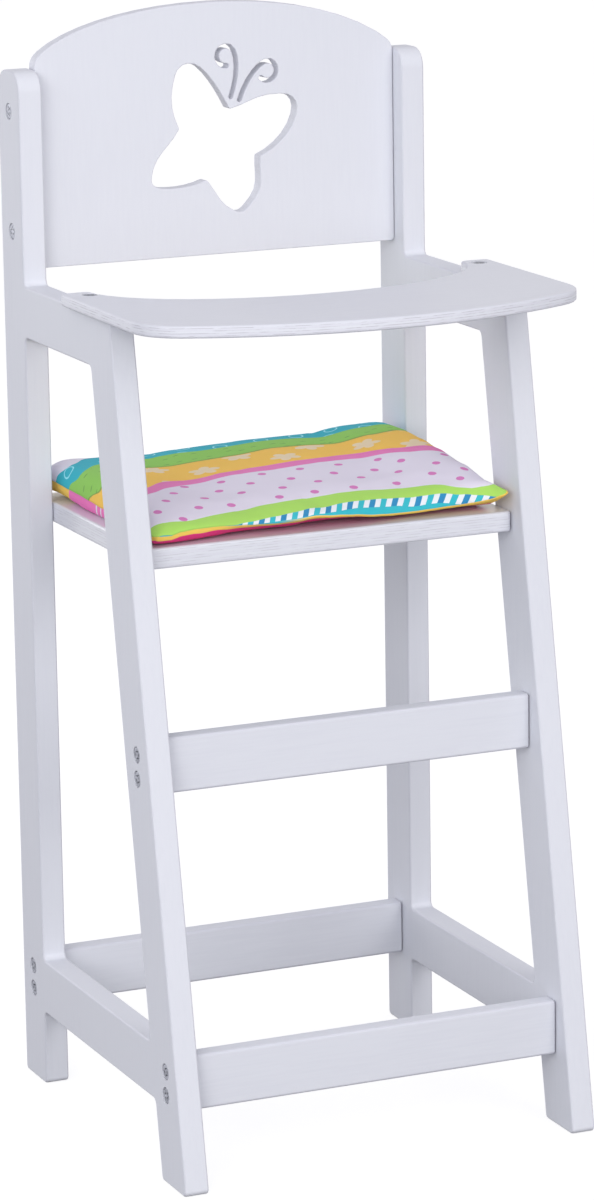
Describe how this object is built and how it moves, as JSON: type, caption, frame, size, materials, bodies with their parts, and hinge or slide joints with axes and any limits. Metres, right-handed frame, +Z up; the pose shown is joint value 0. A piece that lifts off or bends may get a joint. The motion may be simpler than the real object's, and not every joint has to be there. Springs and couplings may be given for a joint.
{
  "type": "doll high chair",
  "caption": "Doll high chair in painted board with an arched back, a butterfly cut-out, a fixed tray, a footrest rail and a loose printed seat cushion.",
  "frame": {"origin": "middle of the footprint, on the ground under the feet", "axes": "+Z up, the chair faces -Y, +X to the right as seen from the front; left and right in the names are as seen from the front"},
  "size_m": [0.2296, 0.2374, 0.551],
  "materials": {
    "white_paint": "satin white paint on solid board",
    "painted_plywood": "satin white paint on plywood, plies showing at the edges",
    "zinc": "bright zinc plate",
    "beech": "bare turned wood",
    "printed_cotton": "printed cotton with bands of dots, flowers and squares"
  },
  "bodies": {
    "chair": {"left_side_frame": "white_paint", "right_side_frame": "white_paint", "back_panel": "painted_plywood", "rear_rail": "white_paint", "front_rail": "white_paint", "footrest_rail": "white_paint", "seat_board": "painted_plywood", "tray": "painted_plywood", "left_back_panel_screw_lower": "zinc", "left_back_panel_screw_upper": "zinc", "right_back_panel_screw_lower": "zinc", "right_back_panel_screw_upper": "zinc", "left_rear_rail_screw_lower": "zinc", "left_rear_rail_screw_upper": "zinc", "right_rear_rail_screw_lower": "zinc", "right_rear_rail_screw_upper": "zinc", "left_front_rail_screw_lower": "zinc", "left_front_rail_screw_upper": "zinc", "right_front_rail_screw_lower": "zinc", "right_front_rail_screw_upper": "zinc", "left_footrest_rail_screw_lower": "zinc", "left_footrest_rail_screw_upper": "zinc", "right_footrest_rail_screw_lower": "zinc", "right_footrest_rail_screw_upper": "zinc", "left_tray_screw": "zinc", "right_tray_screw": "zinc", "left_rear_seat_dowel": "beech", "right_rear_seat_dowel": "beech", "left_front_seat_dowel": "beech", "right_front_seat_dowel": "beech"},
    "cushion": {"seat_cushion": "printed_cotton"}
  },
  "joints": [
    {"name": "cushion_lift", "type": "slide", "parent": "chair", "child": "cushion", "axis": [0, 0, 1], "range_m": [0, 0.08]}
  ]
}
